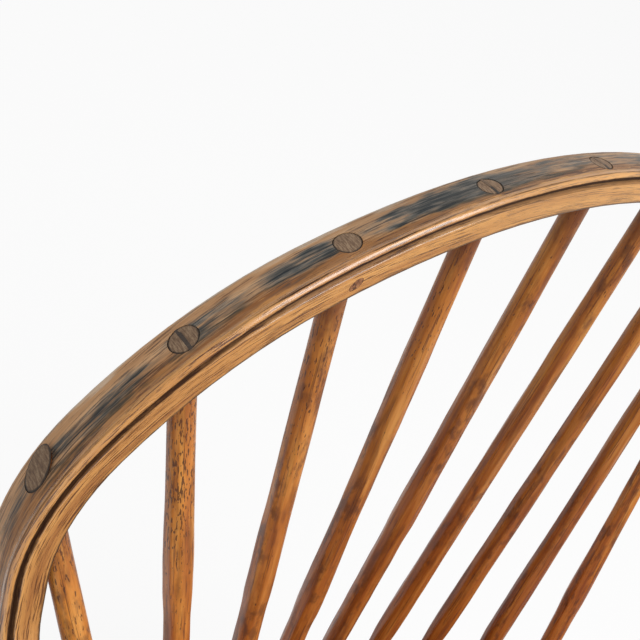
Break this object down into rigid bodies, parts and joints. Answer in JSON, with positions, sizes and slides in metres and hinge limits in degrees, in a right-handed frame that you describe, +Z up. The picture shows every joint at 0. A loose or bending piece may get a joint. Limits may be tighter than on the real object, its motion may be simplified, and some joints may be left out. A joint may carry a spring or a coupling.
{
  "type": "continuous-arm windsor chair",
  "caption": "Wooden armchair whose one bent, beaded rail makes both arms and the back, over fanned spindles, a carved saddle seat and splayed turned legs with stretchers.",
  "frame": {"origin": "on the floor, under the middle of the chair's outer box, half way between its front and back", "axes": "+Z up from the floor, +X to the sitter's left, +Y towards the chair's back, so the sitter faces -Y"},
  "size_m": [0.6188, 0.5168, 0.9028],
  "materials": {
    "bow_wood": "old oiled ash with worn dark paint on its outer face",
    "spindle_wood": "old amber varnish on shaved hickory",
    "seat_wood": "old worn varnish on a carved plank",
    "turned_wood": "old amber varnish on turned maple",
    "wedge_wood": "bare aged oak"
  },
  "bodies": {
    "root": {"arm_post_wedges": "wedge_wood", "arm_spindle_wedges": "wedge_wood", "bow_pegs": "wedge_wood", "bow_rail": "bow_wood", "front_left_leg": "turned_wood", "front_right_leg": "turned_wood", "left_arm_post": "turned_wood", "left_arm_spindle_1": "spindle_wood", "left_arm_spindle_2": "spindle_wood", "left_hand_piece": "bow_wood", "left_side_stretcher": "turned_wood", "leg_wedges": "wedge_wood", "long_spindle_1": "spindle_wood", "long_spindle_2": "spindle_wood", "long_spindle_3": "spindle_wood", "long_spindle_4": "spindle_wood", "long_spindle_5": "spindle_wood", "long_spindle_6": "spindle_wood", "long_spindle_7": "spindle_wood", "long_spindle_8": "spindle_wood", "long_spindle_9": "spindle_wood", "long_spindle_wedges": "wedge_wood", "medial_stretcher": "turned_wood", "rear_left_leg": "turned_wood", "rear_right_leg": "turned_wood", "right_arm_post": "turned_wood", "right_arm_spindle_1": "spindle_wood", "right_arm_spindle_2": "spindle_wood", "right_hand_piece": "bow_wood", "right_side_stretcher": "turned_wood", "seat": "seat_wood"}
  },
  "joints": []
}
